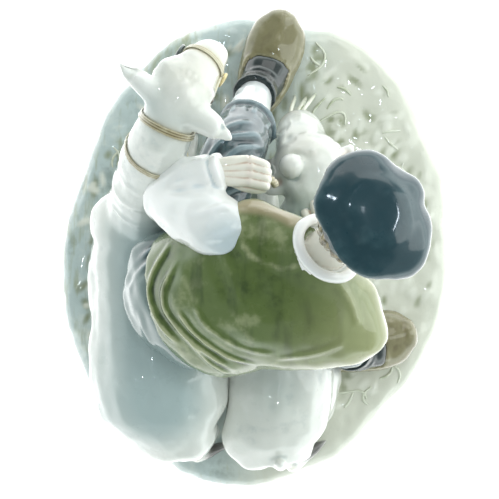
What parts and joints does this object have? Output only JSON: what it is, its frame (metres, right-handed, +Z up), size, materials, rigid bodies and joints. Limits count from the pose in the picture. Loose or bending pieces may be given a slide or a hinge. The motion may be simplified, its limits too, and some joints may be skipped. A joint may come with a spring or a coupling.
{
  "type": "porcelain figurine",
  "caption": "Glazed porcelain group of a boy in a beret and clogs seated on resting calves, one in a halter, on an oval grass base.",
  "frame": {"origin": "middle of the oval base's flat underside", "axes": "+Z up from the floor, +Y along the base's length towards the calves' heads, +X towards the side the boy leans to"},
  "size_m": [0.1646, 0.203, 0.1577],
  "materials": {
    "base_glaze": "gloss",
    "grass_glaze": "gloss",
    "haltered_calf_glaze": "gloss",
    "halter_glaze": "gloss",
    "grazing_calf_glaze": "gloss",
    "breeches_glaze": "gloss",
    "stocking_glaze": "gloss",
    "sock_glaze": "gloss",
    "clog_glaze": "gloss",
    "waistcoat_glaze": "gloss",
    "shirt_glaze": "gloss",
    "skin_glaze": "gloss",
    "hair_glaze": "gloss",
    "beret_glaze": "gloss"
  },
  "bodies": {
    "root": {"base": "base_glaze", "grass_tufts": "grass_glaze", "haltered_calf_body": "haltered_calf_glaze", "haltered_calf_neck": "haltered_calf_glaze", "haltered_calf_head": "haltered_calf_glaze", "haltered_calf_left_ear": "haltered_calf_glaze", "haltered_calf_right_ear": "haltered_calf_glaze", "haltered_calf_left_foreleg": "haltered_calf_glaze", "haltered_calf_right_foreleg": "haltered_calf_glaze", "haltered_calf_left_hind_leg": "haltered_calf_glaze", "haltered_calf_tail": "haltered_calf_glaze", "halter_noseband": "halter_glaze", "halter_cheek_straps": "halter_glaze", "halter_poll_strap": "halter_glaze", "halter_neck_strap": "halter_glaze", "halter_left_ring": "halter_glaze", "halter_right_ring": "halter_glaze", "halter_rope_end": "halter_glaze", "grazing_calf_body": "grazing_calf_glaze", "grazing_calf_neck": "grazing_calf_glaze", "grazing_calf_head": "grazing_calf_glaze", "grazing_calf_left_ear": "grazing_calf_glaze", "grazing_calf_right_ear": "grazing_calf_glaze", "grazing_calf_left_foreleg": "grazing_calf_glaze", "grazing_calf_right_foreleg": "grazing_calf_glaze", "grazing_calf_right_hind_leg": "grazing_calf_glaze", "grazing_calf_tail": "grazing_calf_glaze", "grass_sprig": "grass_glaze", "breeches_seat": "breeches_glaze", "breeches_left_leg": "breeches_glaze", "breeches_right_leg": "breeches_glaze", "left_stocking": "stocking_glaze", "right_stocking": "stocking_glaze", "left_sock": "sock_glaze", "right_sock": "sock_glaze", "left_clog": "clog_glaze", "right_clog": "clog_glaze", "waistcoat": "waistcoat_glaze", "shirt_collar": "shirt_glaze", "left_sleeve": "shirt_glaze", "right_sleeve": "shirt_glaze", "left_hand": "skin_glaze", "right_hand": "skin_glaze", "boy_neck": "skin_glaze", "boy_head": "skin_glaze", "boy_left_ear": "skin_glaze", "boy_right_ear": "skin_glaze", "boy_hair": "hair_glaze", "beret": "beret_glaze"}
  },
  "joints": []
}
